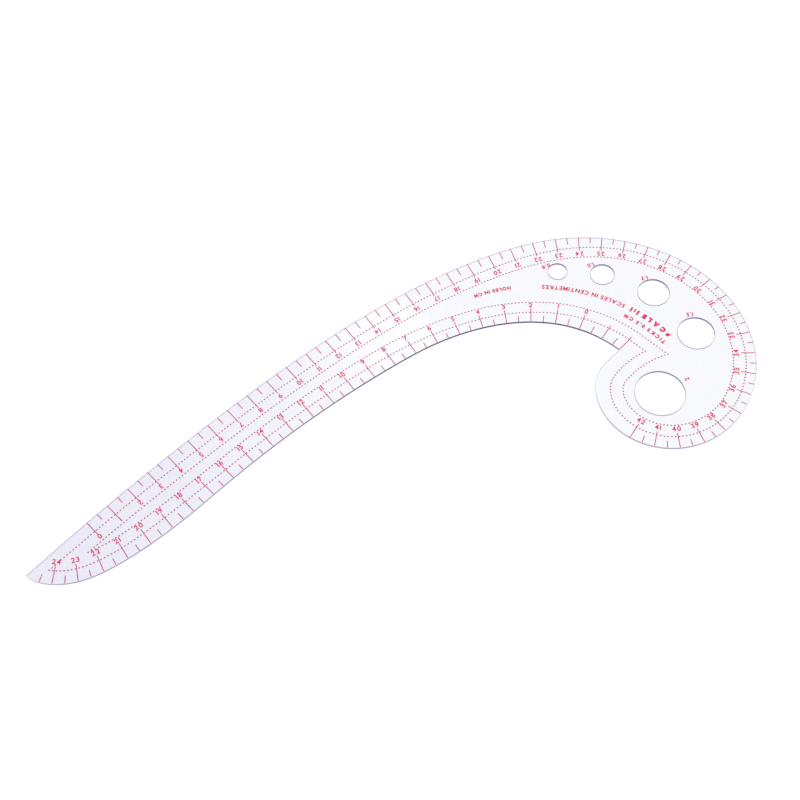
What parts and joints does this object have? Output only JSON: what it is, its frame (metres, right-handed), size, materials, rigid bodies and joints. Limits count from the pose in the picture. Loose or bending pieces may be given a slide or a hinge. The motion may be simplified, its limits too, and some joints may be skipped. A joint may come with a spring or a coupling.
{
  "type": "comma-shaped curve ruler",
  "caption": "Flat clear comma-shaped curve ruler with red centimetre scales along both edges, dotted guide lines inside them and round gauge holes in the head.",
  "frame": {"origin": "centre of the sheet's outline box, on the face it lies on", "axes": "+X along the ruler from the pointed tip to the round head, +Y towards the long outer edge, +Z out of the printed face"},
  "size_m": [0.298, 0.1094, 0.0011],
  "materials": {
    "clear_sheet": "clear, smooth, faintly blue-violet",
    "scale_ink": "screen-printed red ink",
    "line_ink": "screen-printed red ink"
  },
  "bodies": {
    "root": {"curve_sheet": "clear_sheet", "outer_scale": "scale_ink", "inner_scale": "scale_ink", "near_guide_line": "line_ink", "far_guide_line": "line_ink"}
  },
  "joints": []
}
